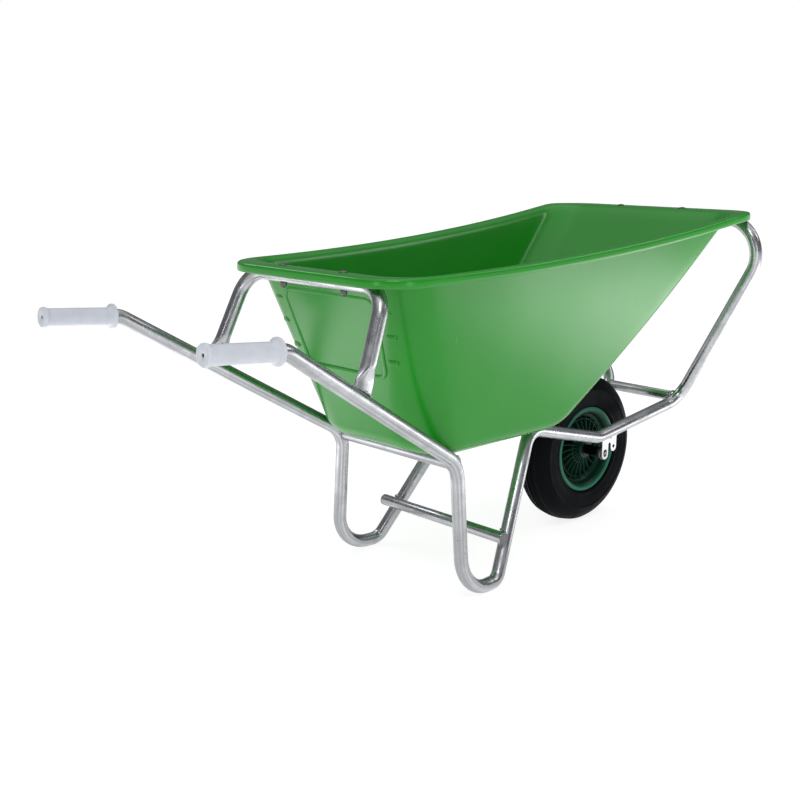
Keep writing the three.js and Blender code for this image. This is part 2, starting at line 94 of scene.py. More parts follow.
FLOOR_Z = 335
RIM_REAR_Z = 750
RIM_FRONT_Z = 845
RIM_RISE = 2.2
RIM_LEVEL_FROM = 730
RIM_LEVEL_TO = 790
REAR_LIFT = 14
REAR_LIFT_FROM = -150
REAR_LIFT_LENGTH = 90
WALL = 6
SKIN = 5
LIP_DEPTH = 20
TRAY_FLOOR = dict(rear=-240, front=264, rear_half=194, front_half=197, corner=110)
TRAY_TOP = dict(rear=-370, front=792, rear_half=263, front_half=298, corner=76)
TRAY_LIP = dict(rear=-430, front=858, rear_half=284, front_half=332, corner=108)
CORNER_STEPS = 14
LONG_STEPS = 30
END_STEPS = 14
WAVER = 0.9
WAVER_FINENESS = 0.006
RELIEF_DEPTH = 1.5
RELIEF_SQUASH = 0.3
PANEL = dict(half_top=150, half_bottom=132, low=520, high=696, radius=26)
TICKS = ((672, 166), (618, 164), (560, 150))  # height, and distance from the middle
TICK_LENGTH = 24

BOLT_SPREAD = 101
GRIP_LENGTH = 150
SIDES = (("left", 1), ("right", -1))


# ---- materials ----


class Shader:
    """A principled material with short helpers for its nodes."""

    def __init__(self, name, **constants):
        self.material = bpy.data.materials.new(name)
        self.material.use_nodes = True
        self.tree = self.material.node_tree
        self.surface = self.tree.nodes["Principled BSDF"]
        for socket, value in constants.items():
            self.surface.inputs[socket.replace("_", " ")].default_value = value
        place = self.tree.nodes.new("ShaderNodeTexCoord")
        self.place = place.outputs["Object"]

    def link(self, source, target):
        self.tree.links.new(source, target)

    def scaled(self, stretch):
        mapping = self.tree.nodes.new("ShaderNodeMapping")
        mapping.inputs["Scale"].default_value = stretch
        self.link(self.place, mapping.inputs["Vector"])
        return mapping.outputs["Vector"]

    def noise(self, scale, detail, stretch=(1, 1, 1), distortion=0.0):
        texture = self.tree.nodes.new("ShaderNodeTexNoise")
        texture.inputs["Scale"].default_value = scale
        texture.inputs["Detail"].default_value = detail
        texture.inputs["Distortion"].default_value = distortion
        self.link(self.scaled(stretch), texture.inputs["Vector"])
        return texture.outputs["Fac"]

    def cells(self, scale, output="Color", stretch=(1, 1, 1)):
        texture = self.tree.nodes.new("ShaderNodeTexVoronoi")
        texture.inputs["Scale"].default_value = scale
        self.link(self.scaled(stretch), texture.inputs["Vector"])
        return texture.outputs[output]

    def grey(self, colour):
        """One channel of a colour, as a plain value."""
        split = self.tree.nodes.new("ShaderNodeSeparateColor")
        self.link(colour, split.inputs["Color"])
        return split.outputs["Red"]

    def spread(self, value, low, high, from_low=0.0, from_high=1.0):
        """The value mapped from one range to another, and held inside it."""
        mapped = self.tree.nodes.new("ShaderNodeMapRange")
        mapped.inputs["From Min"].default_value = from_low
        mapped.inputs["From Max"].default_value = from_high
        mapped.inputs["To Min"].default_value = low
        mapped.inputs["To Max"].default_value = high
        self.link(value, mapped.inputs["Value"])
        return mapped.outputs["Result"]

    def math(self, operation, first, second):
        step = self.tree.nodes.new("ShaderNodeMath")
        step.operation = operation
        for socket, value in zip(step.inputs, (first, second)):
            if isinstance(value, (int, float)):
                socket.default_value = value
            else:
                self.link(value, socket)
        return step.outputs["Value"]

    def ramp(self, value, *stops):
        """Colours along a value: each stop is a place from 0 to 1 and a linear colour."""
        ramp = self.tree.nodes.new("ShaderNodeValToRGB")
        points = ramp.color_ramp.elements
        while len(points) < len(stops):
            points.new(0.5)
        for point, (spot, colour) in zip(points, stops):
            point.position = spot
            point.color = (*colour, 1)
        self.link(value, ramp.inputs["Fac"])
        return ramp.outputs["Color"]

    def mix(self, share, first, second):
        """The first colour, turned to the second by a share from 0 to 1."""
        mix = self.tree.nodes.new("ShaderNodeMix")
        mix.data_type = "RGBA"
        for index, value in ((0, share), (6, first), (7, second)):
            socket = mix.inputs[index]
            if isinstance(value, tuple):
                socket.default_value = (*value, 1)
            elif isinstance(value, (int, float)):
                socket.default_value = value
            else:
                self.link(value, socket)
        return mix.outputs[2]

    def edge_wear_and_highlight(self, low, high):
        """1 on sharp outer edges and 0 elsewhere."""
        geometry = self.tree.nodes.new("ShaderNodeNewGeometry")
        return self.spread(geometry.outputs["Pointiness"], 0, 1, low, high)

    def drawn_lines(self):
        """Long streaks that follow a tube, from its noted place round and along it."""
        noted = self.tree.nodes.new("ShaderNodeAttribute")
        noted.attribute_name = "drawn"
        texture = self.tree.nodes.new("ShaderNodeTexNoise")
        texture.inputs["Scale"].default_value = 2.2
        texture.inputs["Detail"].default_value = 4
        self.link(noted.outputs["Vector"], texture.inputs["Vector"])
        return texture.outputs["Fac"]

    def distance(self, x, y, z, stretch=(1, 1, 1)):
        """Distance in metres from a point; a stretch of 0 leaves out an axis whose place is 0."""
        mapping = self.tree.nodes.new("ShaderNodeMapping")
        mapping.inputs["Scale"].default_value = stretch
        mapping.inputs["Location"].default_value = (-x, -y, -z)
        self.link(self.place, mapping.inputs["Vector"])
        length = self.tree.nodes.new("ShaderNodeVectorMath")
        length.operation = "LENGTH"
        self.link(mapping.outputs["Vector"], length.inputs[0])
        return length.outputs["Value"]

    def patch(self, x, y, size):
        """1 in the middle of a soft round patch on the ground, 0 past its size in metres."""
        return self.spread(self.distance(x, y, 0), 1, 0, size * 0.2, size)

    def colour(self, source):
        self.link(source, self.surface.inputs["Base Color"])

    def roughness(self, source):
        self.link(source, self.surface.inputs["Roughness"])

    def bump(self, *layers):
        """Each layer is a height from 0 to 1 and its depth in metres."""
        normal = None
        for height, depth in layers:
            bump = self.tree.nodes.new("ShaderNodeBump")
            bump.inputs["Strength"].default_value = 1
            bump.inputs["Distance"].default_value = depth
            self.link(height, bump.inputs["Height"])
            if normal is not None:
                self.link(normal, bump.inputs["Normal"])
            normal = bump.outputs["Normal"]
        self.link(normal, self.surface.inputs["Normal"])


def shaded(colour, share):
    return tuple(min(1, channel * share) for channel in colour)


def tray_plastic():
    """Satin green polyethylene: a faint mottle, a fine moulded grain, light scuffs and a painted
    highlight along its sharp edges.
    """
    green = Shader("tray_plastic", IOR=1.5, Specular_IOR_Level=0.44)
    mottle = green.noise(5, 3)
    base = green.ramp(mottle, (0.3, (0.008, 0.25, 0.009)), (0.7, (0.009, 0.275, 0.010)))
    scuffs = green.spread(green.noise(60, 6, (1, 1, 0.06), 0.6), 0, 1, 0.66, 0.8)
    base = green.mix(green.math("MULTIPLY", scuffs, 0.03), base, (0.10, 0.34, 0.09))
    # Painted highlight: the rim and other sharp edges are lightened toward a paler green.
    edges = green.edge_wear_and_highlight(0.53, 0.6)
    base = green.mix(green.math("MULTIPLY", edges, 0.4), base, (0.12, 0.34, 0.10))
    green.colour(base)
    smear = green.spread(green.noise(9, 4), 0.22, 0.27, 0.3, 0.7)
    green.roughness(green.math("ADD", smear, green.math("MULTIPLY", scuffs, 0.04)))
    green.bump((green.noise(4, 1), 0.0008), (green.noise(850, 2), 0.00002),
               (green.noise(170, 3), 0.00001))
    return green.material


def galvanised_steel(name="galvanised_steel", base=(0.55, 0.56, 0.585), rough=0.0):
    """Hot-dip zinc: crystal spangle, drawn-out runs, dull patches and a few dark specks."""
    zinc = Shader(name, Metallic=1.0)
    spangle = zinc.grey(zinc.cells(150, stretch=(1, 1, 0.8)))
    dull = zinc.spread(zinc.noise(16, 5, distortion=0.8), 0, 1, 0.46, 0.68)
    runs = zinc.noise(34, 4, (1, 1, 0.35), 0.5)
    tone = zinc.mix(zinc.spread(spangle, 0, 1), base, shaded(base, 1.15))
    lines = zinc.spread(zinc.drawn_lines(), 0, 1, 0.40, 0.62)
    tone = zinc.mix(zinc.math("MULTIPLY", lines, 0.7), tone, shaded(base, 0.45))
    tone = zinc.mix(zinc.math("MULTIPLY", dull, 0.45), tone, shaded(base, 0.62))
    specks = zinc.spread(zinc.cells(70, output="Distance"), 0.75, 0, 0.08, 0.16)
    sparse = zinc.spread(zinc.noise(7, 1), 0, 1, 0.66, 0.7)
    dark = zinc.math("MULTIPLY", specks, sparse)
    zinc.colour(zinc.mix(dark, tone, (0.12, 0.12, 0.125)))
    matt = zinc.math("MULTIPLY", dull, 0.16)
    shine = zinc.spread(spangle, 0.23 + rough, 0.30 + rough)
    zinc.roughness(zinc.math("ADD", shine, matt))
    zinc.bump((runs, 0.0004), (zinc.noise(210, 3), 0.00004), (spangle, 0.000004))
    return zinc.material


def plated_steel(name="plated_steel", dull=(0.10, 0.10, 0.095), bright=(0.18, 0.18, 0.17)):
    """Zinc plated hardware: slightly warm, finely brushed, rubbed bright on its edges."""
    plate = Shader(name, Metallic=1.0)
    tint = plate.ramp(plate.noise(45, 4), (0.3, dull), (0.7, bright))
    edges = plate.edge_wear_and_highlight(0.52, 0.6)
    plate.colour(plate.mix(edges, tint, shaded(bright, 1.5)))
    plate.roughness(plate.spread(plate.noise(320, 3, (1, 0.1, 1)), 0.24, 0.42, 0.3, 0.7))
    plate.bump((plate.noise(520, 2, (1, 0.1, 1)), 0.00003))
    return plate.material


def wheel_plastic():
    """Dark blue-green polypropylene, paler on its edges, with painted shade that darkens
    everything inside the rim.
    """
    teal = Shader("wheel_plastic", IOR=1.5, Specular_IOR_Level=0.16)
    shade = teal.noise(30, 4)
    base = teal.ramp(shade, (0.3, (0.008, 0.12, 0.066)), (0.7, (0.012, 0.15, 0.084)))
    edges = teal.edge_wear_and_highlight(0.52, 0.62)
    base = teal.mix(teal.math("MULTIPLY", edges, 0.4), base, (0.05, 0.20, 0.13))
    # Painted shade: out to about 102 mm from the axle the colour is turned most of the way to near
    # black.
    out_from_axle = teal.distance(WHEEL.x / 1000, 0, WHEEL.z / 1000, (1, 0, 1))
    rim_recess_shade = teal.spread(out_from_axle, 1, 0, 0.102, 0.105)
    teal.colour(teal.mix(teal.math("MULTIPLY", rim_recess_shade, 0.82), base, (0.002, 0.012, 0.008)))
    teal.roughness(teal.spread(teal.noise(60, 4), 0.28, 0.46, 0.3, 0.7))
    teal.bump((teal.noise(600, 2), 0.00004), (teal.noise(40, 2), 0.0003))
    return teal.material


def tyre_rubber(name="tyre_rubber", base=(0.0022, 0.003, 0.004)):
    """Black rubber with a dry bloom in patches and a fine grain."""
    black = Shader(name, IOR=1.5, Specular_IOR_Level=0.04)
    bloom = black.spread(black.noise(18, 5, distortion=0.4), 0, 1, 0.45, 0.75)
    dusty = tuple(shade * 1.4 + 0.0008 for shade in base)
    black.colour(black.mix(black.math("MULTIPLY", bloom, 0.6), base, dusty))
    black.roughness(black.spread(bloom, 0.46, 0.66))
    black.bump((black.noise(900, 2), 0.00008), (black.noise(140, 4), 0.00012))
    return black.material


def grip_vinyl():
    """Soft off-white vinyl, slightly milky and faintly mottled."""
    vinyl = Shader("grip_vinyl", IOR=1.46, Subsurface_Weight=0.25, Subsurface_Scale=0.004,
                   Coat_Weight=0.1, Coat_Roughness=0.3)
    vinyl.surface.inputs["Subsurface Radius"].default_value = (1.0, 0.95, 0.9)
    shade = vinyl.noise(40, 4)
    vinyl.colour(vinyl.ramp(shade, (0.3, (0.58, 0.61, 0.67)), (0.7, (0.64, 0.67, 0.73))))
    vinyl.roughness(vinyl.spread(vinyl.noise(90, 3), 0.34, 0.5, 0.3, 0.7))
    vinyl.bump((vinyl.noise(700, 2), 0.00006), (vinyl.noise(60, 3), 0.0004))
    return vinyl.material


def studio_white():
    """A white floor lit from below; two brighter patches give the tray its sheen."""
    paint = Shader("studio_white", Roughness=0.9, Emission_Strength=1.0)
    shade = paint.noise(2, 2)
    paint.colour(paint.ramp(shade, (0.3, (0.34, 0.34, 0.34)), (0.7, (0.36, 0.36, 0.36))))
    beside = paint.math("MULTIPLY", paint.patch(1.9, -1.15, 1.1), 4.2)
    behind = paint.math("MULTIPLY", paint.patch(-0.85, 0.95, 0.7), 1.7)
    glow = paint.math("ADD", 0.84, paint.math("ADD", beside, behind))
    paint.link(glow, paint.surface.inputs["Emission Color"])
    paint.bump((paint.noise(200, 2), 0.0001))
    return paint.material


GALVANISED = galvanised_steel()
WELD = galvanised_steel("galvanised_weld", (0.52, 0.53, 0.54), 0.14)
PLATED = plated_steel()
BLACKENED = plated_steel("blackened_steel", (0.012, 0.012, 0.013), (0.025, 0.025, 0.026))
TRAY_GREEN = tray_plastic()
WHEEL_GREEN = wheel_plastic()
TYRE_BLACK = tyre_rubber()
PLUG_GREY = tyre_rubber("plug_plastic", (0.2, 0.2, 0.21))
# Painted shade: a near-black rubber-like finish for discs that stand in for the dark inside of
# holes.
HOLE_SHADE = tyre_rubber("hole_shadow", (0.006, 0.006, 0.006))
GRIP_WHITE = grip_vinyl()


# ---- mesh helpers ----


def piece(name, shell, finish, slot, stands_for=(), body="frame", crease=38):
    """Turns a mesh in millimetres into an object that rides on a body of the frame."""
    bmesh.ops.remove_doubles(shell, verts=shell.verts, dist=0.001)
    bmesh.ops.recalc_face_normals(shell, faces=shell.faces)
    shell.transform(Matrix.Scale(0.001, 4))
    mesh = bpy.data.meshes.new(name)
    shell.to_mesh(mesh)
    shell.free()
    mesh.materials.append(finish)
    mesh.shade_smooth()
    mesh.set_sharp_from_angle(angle=math.radians(crease))
    thing = bpy.data.objects.new(name, mesh)
    bpy.context.scene.collection.objects.link(thing)
    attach(thing, body)
    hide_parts(*stands_for)
    return thing


def steelwork(name, shell, stands_for=(), finish=GALVANISED):
    return piece(name, shell, finish, "galvanised_tube", stands_for)


def hardware(name, shell, node, finish=PLATED, **more):
    return piece(name, shell, finish, "zinc_hardware", (node,), **more)


def bevel(thing, width):
    """Rounds the sharp edges of a piece; the width is in millimetres."""
    modifier = thing.modifiers.new("edge", "BEVEL")
    modifier.width = width * 0.001
    modifier.segments = 2
    modifier.limit_method = "ANGLE"
    modifier.angle_limit = math.radians(40)
    modifier.harden_normals = True


def note_drawing(layer, rings, made):
    """Notes on each vertex of a tube where it lies round the tube and how far along it."""
    count = len(rings[0])
    middles = [sum(ring, Vector()) / count for ring in rings]
    reach = 0.0
    for k, ring in enumerate(made):
        if k > 0:
            reach += (middles[k] - middles[k - 1]).length / 1000
        for j, vertex in enumerate(ring):
            angle = 2 * math.pi * j / count
            vertex[layer] = (math.cos(angle), math.sin(angle), reach)


def add_rings(shell, rings, closed=False, drawn=False):
    """Skins rings of equal length; closed joins the last to the first, or else both get caps."""
    layer = shell.verts.layers.float_vector.new("drawn") if drawn else None
    made = [[shell.verts.new(point) for point in ring] for ring in rings]
    if drawn:
        note_drawing(layer, rings, made)
    count = len(made[0])
    pairs = list(zip(made, made[1:]))
    if closed:
        pairs.append((made[-1], made[0]))
    for here, there in pairs:
        for k in range(count):
            after = (k + 1) % count
            shell.faces.new((here[k], here[after], there[after], there[k]))
    if not closed:
        shell.faces.new(made[0][::-1])
        shell.faces.new(made[-1])


def rounded_path(corners, bends, degrees=4):
    """Points and directions along a line whose corners are rounded to their bend radii."""
    at = [Vector(corner) for corner in corners]
    points = [at[0]]
    ways = [(at[1] - at[0]).normalized()]
    for before, corner, after, bend in zip(at, at[1:], at[2:], bends[1:]):
        into = (corner - before).normalized()
        away = (after - corner).normalized()
        turn = into.angle(away)
        if bend == 0:
            points.append(corner)
            ways.append((into + away).normalized())
            continue
        side = (away - into * math.cos(turn)).normalized()
        centre = corner - into * bend * math.tan(turn / 2) + side * bend
        steps = max(3, round(math.degrees(turn) / degrees))
        for k in range(steps + 1):
            angle = turn * k / steps
            points.append(centre - side * bend * math.cos(angle) + into * bend * math.sin(angle))
            ways.append(into * math.cos(angle) + side * math.sin(angle))
    points.append(at[-1])
    ways.append((at[-1] - at[-2]).normalized())
    return points, ways


def sweep_rings(points, ways, radii, sides=TUBE_SIDES):
    """Rings along a path; the frame is carried along without twist."""
    across = ways[0].orthogonal().normalized()
    rings = []
    for k, (point, way) in enumerate(zip(points, ways)):
        if k > 0:
            across = ways[k - 1].rotation_difference(way) @ across
        up = way.cross(across)
        ring = []
        for j in range(sides):
            angle = 2 * math.pi * j / sides
            ring.append(point + (across * math.cos(angle) + up * math.sin(angle)) * radii[k])
        rings.append(ring)
    return rings


def softened_ends(points, ways, radius, rounding=1.2, steps=3):
    """Rounds both ends of a path over, so that a tube has no knife edge there."""
    first = []
    last = []
    for k in range(steps):
        along = rounding * math.sin(math.pi / 2 * k / steps)
        size = radius - rounding * (1 - math.sin(math.pi / 2 * (k + 1) / steps))
        first.append((points[0] + ways[0] * along, ways[0], size))
        last.append((points[-1] - ways[-1] * along, ways[-1], size))
    body = [(point, way, radius) for point, way in zip(points[1:-1], ways[1:-1])]
    return zip(*first, *body, *last[::-1])


def tube(corners, bends, radius):
    """A bent tube as a closed shell."""
    points, ways, radii = softened_ends(*rounded_path(corners, bends), radius)
    shell = bmesh.new()
    add_rings(shell, sweep_rings(points, ways, radii), drawn=True)
    return shell


def mirrored(corners):
    return [(x, -y, z) for x, y, z in corners]


def turned(outline, sides, place, shell=None):
    """A closed outline of (radius, y) turned about the Y axis, then put in place."""
    shell = shell or bmesh.new()
    rings = []
    for k in range(sides):
        angle = 2 * math.pi * k / sides
        spoke = [Vector((r * math.cos(angle), y, r * math.sin(angle))) for r, y in outline]
        rings.append([place @ point for point in spoke])
    add_rings(shell, rings, closed=True)
    bmesh.ops.remove_doubles(shell, verts=shell.verts, dist=0.001)
    loose = [face for face in shell.faces if face.calc_area() < 1e-9]
    bmesh.ops.delete(shell, geom=loose, context="FACES")
    return shell


def moved(x, y, z):
    return Matrix.Translation((x, y, z))


def facing(side, x, y, z):
    """Puts a piece made for the left side in place, turned over for the right side."""
    return moved(x, y, z) @ Matrix.Scale(side, 4, (0, 1, 0))


def bead(shell, points, radius, wobble, seed, closed=True):
    """A weld bead: a lumpy round cord along a line of points."""
    count = len(points)
    ways = []
    for k in range(count):
        before = points[k - 1] if closed or k > 0 else points[k]
        after = points[(k + 1) % count] if closed or k + 1 < count else points[k]
        ways.append((after - before).normalized())
    radii = []
    for k, point in enumerate(points):
        lump = 0.5 + 0.5 * math.sin(k * 1.9 + seed)
        radii.append(radius * (1 + wobble * (lump - 0.5 + noise.noise(point * 0.2))))
    if not closed:
        radii[0] = radii[-1] = radius * 0.35
    add_rings(shell, sweep_rings(points, ways, radii, 10), closed=closed)


# ---- frame tubes ----


def rim_z(x):
    """Height of the rim, which rises toward the front and eases out to level there."""
    past = min(max(0, x - RIM_LEVEL_FROM), RIM_LEVEL_TO - RIM_LEVEL_FROM)
    eased = min(x, RIM_LEVEL_TO) - past ** 2 / (2 * (RIM_LEVEL_TO - RIM_LEVEL_FROM))
    along = (eased - TRAY_LIP["rear"]) / (TRAY_LIP["front"] - TRAY_LIP["rear"])
    return RIM_REAR_Z + (RIM_FRONT_Z - RIM_REAR_Z) * max(0, along) ** RIM_RISE


def rim_tilt(x):
    return math.atan2(rim_z(x + 1) - rim_z(x - 1), 2)


def tube_under_rim(x):
    """Height of the middle of a tube that lies under the rim at x."""
    return rim_z(x) - (SKIN + 0.3 + TUBE_RADIUS) / math.cos(rim_tilt(x))


def frame_rails():
    for label, side in SIDES:
        corners = RAIL_CORNERS if side > 0 else mirrored(RAIL_CORNERS)
        steelwork(f"rail_tube_{label}", tube(corners, RAIL_BENDS, TUBE_RADIUS),
                  (f"frame_rail_{label}",))


def hoop_path():
    half = [HOOP_FOOT, HOOP_KNEE, (HOOP_TOP_X, HOOP_TOP_Y, tube_under_rim(HOOP_TOP_X))]
    corners = half + mirrored(half)[::-1]
    bends = [0, HOOP_KNEE_BEND, HOOP_BEND, HOOP_BEND, HOOP_KNEE_BEND, 0]
    return corners, bends


def front_hoop():
    steelwork("hoop_tube", tube(*hoop_path(), TUBE_RADIUS), ("front_hoop",))


def arch_leg(rise):
    foot_x, foot_y, foot_z = ARCH_FOOT
    along = rise / (tube_under_rim(ARCH_TOP_X) - foot_z)
    return (foot_x + (ARCH_TOP_X - foot_x) * along, foot_y + (ARCH_TOP_Y - foot_y) * along,
            foot_z + rise)


def smooth_step(value, low, high):
    share = min(1, max(0, (value - low) / (high - low)))
    return share * share * (3 - 2 * share)


def flattened_foot(point):
    """Squashes the tube across Y near its foot, and cuts the foot to the handle's slope."""
    foot_x, _, foot_z = ARCH_FOOT
    top_z = tube_under_rim(ARCH_TOP_X)
    rise = point.z - foot_z
    share = 1 - smooth_step(rise, 0.35 * ARCH_FLAT_LENGTH, ARCH_FLAT_LENGTH * 1.15)
    if share <= 0:
        return point
    middle = arch_leg(rise)
    side = math.copysign(1, point.y)
    lean = (ARCH_TOP_X - foot_x) / (top_z - foot_z)
    thin = 1 - share * (1 - ARCH_FLAT_THICKNESS / (2 * TUBE_RADIUS))
    across = point.x - middle[0]
    reach = across * (1 + 0.36 * share)
    return Vector((
        middle[0] + reach,
        side * middle[1] + (point.y - side * middle[1]) * thin,
        point.z - (reach * HANDLE_FALL - across * lean) * share,
    ))


def rear_arch():
    steps = [arch_leg(rise) for rise in range(0, 62, 4)]
    half = [*steps, (ARCH_TOP_X, ARCH_TOP_Y, tube_under_rim(ARCH_TOP_X))]
    corners = half + mirrored(half)[::-1]
    bends = [0] * len(steps) + [ARCH_BEND, ARCH_BEND] + [0] * len(steps)
    points, ways = rounded_path(corners, bends)
    rings = sweep_rings(points, ways, [TUBE_RADIUS] * len(points))
    rings = [[flattened_foot(point) for point in ring] for ring in rings]
    shell = bmesh.new()
    add_rings(shell, rings, drawn=True)
    steelwork("arch_tube", shell, ("rear_arch",))
    welds = bmesh.new()
    for ring in (rings[0], rings[-1]):
        bead(welds, ring, 2.1, 0.5, 0.4)
    steelwork("arch_foot_welds", welds, finish=WELD)


def drain_holes():
    """Small dark discs low on the arch legs: painted shade that reads as their drain holes."""
    shell = bmesh.new()
    for side in (1, -1):
        spot = Vector(arch_leg(30))
        place = moved(spot.x - 2, side * (spot.y - 10.2), spot.z)
        # Painted shade: each disc is near black, standing in for the dark inside of a hole.
        turned([(0, -0.5), (3.2, -0.5), (3.2, 0.6), (0, 0.6)], 16, place, shell)
    steelwork("drain_hole_shade", shell, finish=HOLE_SHADE)


def cross_tubes():
    for name, (x, z), half, radius, node in (
        ("tray_bar_tube", TRAY_BAR, TRAY_BAR_HALF, TUBE_RADIUS, "tray_cross_tube"),
        ("stretcher_tube", STRETCHER, STRETCHER_HALF, BAR_RADIUS, "leg_stretcher"),
        ("front_bar_tube", FRONT_BAR, FRONT_BAR_HALF, BAR_RADIUS, "front_cross_tube"),
    ):
        shell = tube([(x, -half, z), (x, half, z)], [0, 0], radius)
        steelwork(name, shell, (node,))


def path_gap(point, path):
    """Distance of a point from the middle line of a tube, given as its path of points."""
    best = 1e9
    for a, b in zip(path, path[1:]):
        along = b - a
        share = min(1, max(0, (point - a).dot(along) / along.length_squared))
        best = min(best, (a + along * share - point).length)
    return best


def saddle(path, spot, radius, inner, outer, steps=40):
    """Where a cross tube along Y runs into a bent tube: a closed line round their joint."""
    curve = []
    for k in range(steps):
        angle = 2 * math.pi * k / steps
        x = spot[0] + (radius + 0.5) * math.cos(angle)
        z = spot[1] + (radius + 0.5) * math.sin(angle)
        clear = inner
        inside = outer
        for _ in range(14):
            middle = (clear + inside) / 2
            if path_gap(Vector((x, middle, z)), path) > TUBE_RADIUS + 0.5:
                clear = middle
            else:
                inside = middle
        curve.append(Vector((x, clear, z)))
    return curve


def cross_tube_welds():
    shell = bmesh.new()
    joints = (
        (rounded_path(RAIL_CORNERS, RAIL_BENDS, 8)[0], TRAY_BAR, TUBE_RADIUS, 150, 190),
        (rounded_path(*hoop_path(), 8)[0][:30], FRONT_BAR, BAR_RADIUS, 80, 106),
    )
    for path, spot, radius, inner, outer in joints:
        curve = saddle(path, spot, radius, inner, outer)
        bead(shell, curve, 2.6, 0.45, 1.0)
        bead(shell, [Vector((p.x, -p.y, p.z)) for p in curve], 2.6, 0.45, 2.0)
    steelwork("cross_tube_welds", shell, finish=WELD)


def stretcher_welds():
    """Fillets above and below the place where the stretcher touches each rising leg."""
    shell = bmesh.new()
    foot = Vector(RAIL_CORNERS[4])
    way = (Vector(RAIL_CORNERS[5]) - foot).normalized()
    for side in (1, -1):
        near = foot + way * ((STRETCHER[1] - foot.z) / way.z)
        for rise in (-1, 1):
            curve = []
            for k in range(9):
                y = near.y + (k - 4) * 2.4
                x = (near.x + STRETCHER[0]) / 2 + rise * 4
                curve.append(Vector((x, side * y, STRETCHER[1] + rise * 9)))
            bead(shell, curve, 2.8, 0.4, rise, closed=False)
    steelwork("stretcher_welds", shell, finish=WELD)


# ---- brackets and axle ----


def arc(x, z, radius, start, end, steps=12):
    """Points of an arc in the XZ plane, with its angles in degrees."""
    spots = []
    for k in range(steps + 1):
        angle = math.radians(start + (end - start) * k / steps)
        spots.append((x + radius * math.cos(angle), z + radius * math.sin(angle)))
    return spots


def rail_under(x):
    """Height of the top edge of the bracket plate, just under the rail."""
    (x0, _, z0), (x1, _, z1) = RAIL_CORNERS[6], RAIL_CORNERS[7]
    return z0 + (z1 - z0) * (x - x0) / (x1 - x0) - 12.8


def filled(loops):
    """A flat face in the XZ plane with holes: the first loop is its edge."""
    shell = bmesh.new()
    edges = []
    for loop in loops:
        spots = [shell.verts.new((x, 0, z)) for x, z in loop]
        edges += [shell.edges.new((a, b)) for a, b in zip(spots, spots[1:] + spots[:1])]
    bmesh.ops.triangle_fill(shell, use_beauty=True, edges=edges)
    return shell


def bracket_plates():
    rear = WHEEL.x
    front = WHEEL.x + 35
    outline = [
        (rear - 13, rail_under(rear - 13)),
        *arc(rear, 196, 13, 180, 360),
        *arc(rear + 18, 221, 5, 180, 0, 8),
        *arc(front, 212, 12, 180, 360),
        (front + 12, 240), (574, 247), (574, rail_under(574)),
    ]
    slot = arc(rear, 203, 7, 0, 180) + arc(rear, 197, 7, 180, 360)
    holes = [slot, arc(front, 214, 4.5, 0, 345, 23), arc(533, 240, 3.5, 0, 340, 17)]
    for label, side in SIDES:
        shell = filled([outline, *holes])
        grown = bmesh.ops.extrude_face_region(shell, geom=list(shell.faces))
        pulled = [item for item in grown["geom"] if isinstance(item, bmesh.types.BMVert)]
        bmesh.ops.translate(shell, verts=pulled, vec=(0, BRACKET_THICKNESS, 0))
        shell.transform(moved(0, side * BRACKET_Y - BRACKET_THICKNESS / 2, 0))
        bevel(steelwork(f"bracket_plate_{label}", shell, (f"axle_bracket_{label}",)), 0.6)
    welds = bmesh.new()
    for side in (1, -1):
        for face in (-BRACKET_THICKNESS / 2 - 0.8, BRACKET_THICKNESS / 2 + 0.4):
            curve = [Vector((x, side * (BRACKET_Y + face), rail_under(x) - 0.6))
                     for x in range(500, 573, 3)]
            bead(welds, curve, 2.3, 0.5, face, closed=False)
    steelwork("bracket_welds", welds, finish=WELD)


def hex_prism(shell, flat, height, place):
    """A nut with its corners turned down, standing along Y from 0 to its height."""
    sides = 48
    rings = []
    for level, chamfer in ((0, 1), (0.12, 0), (0.88, 0), (1, 1)):
        ring = []
        for k in range(sides):
            angle = 2 * math.pi * k / sides
            hexagon = flat / math.cos((angle + math.pi / 6) % (math.pi / 3) - math.pi / 6)
            radius = min(hexagon, flat * 1.01) if chamfer else hexagon
            ring.append(place @ Vector((radius * math.cos(angle), level * height,
                                        radius * math.sin(angle))))
        rings.append(ring)
    add_rings(shell, rings)


def threaded(shell, radius, start, end, pitch, place):
    """A rod end with ring-shaped ridges for its thread."""
    outline = [(0, start)]
    y = start
    while y < end:
        outline += [(radius * 0.9, y), (radius, y + pitch * 0.35), (radius, y + pitch * 0.55)]
        y += pitch
    outline += [(radius * 0.8, end), (0, end)]
    turned(outline, 28, place, shell)


def ring_outline(inner, outer, start, end, edge=0.4):
    """Section of a ring with small chamfers."""
    return [(inner, start + edge), (inner + edge, start), (outer - edge, start),
            (outer, start + edge), (outer, end - edge), (outer - edge, end),
            (inner + edge, end), (inner, end - edge)]


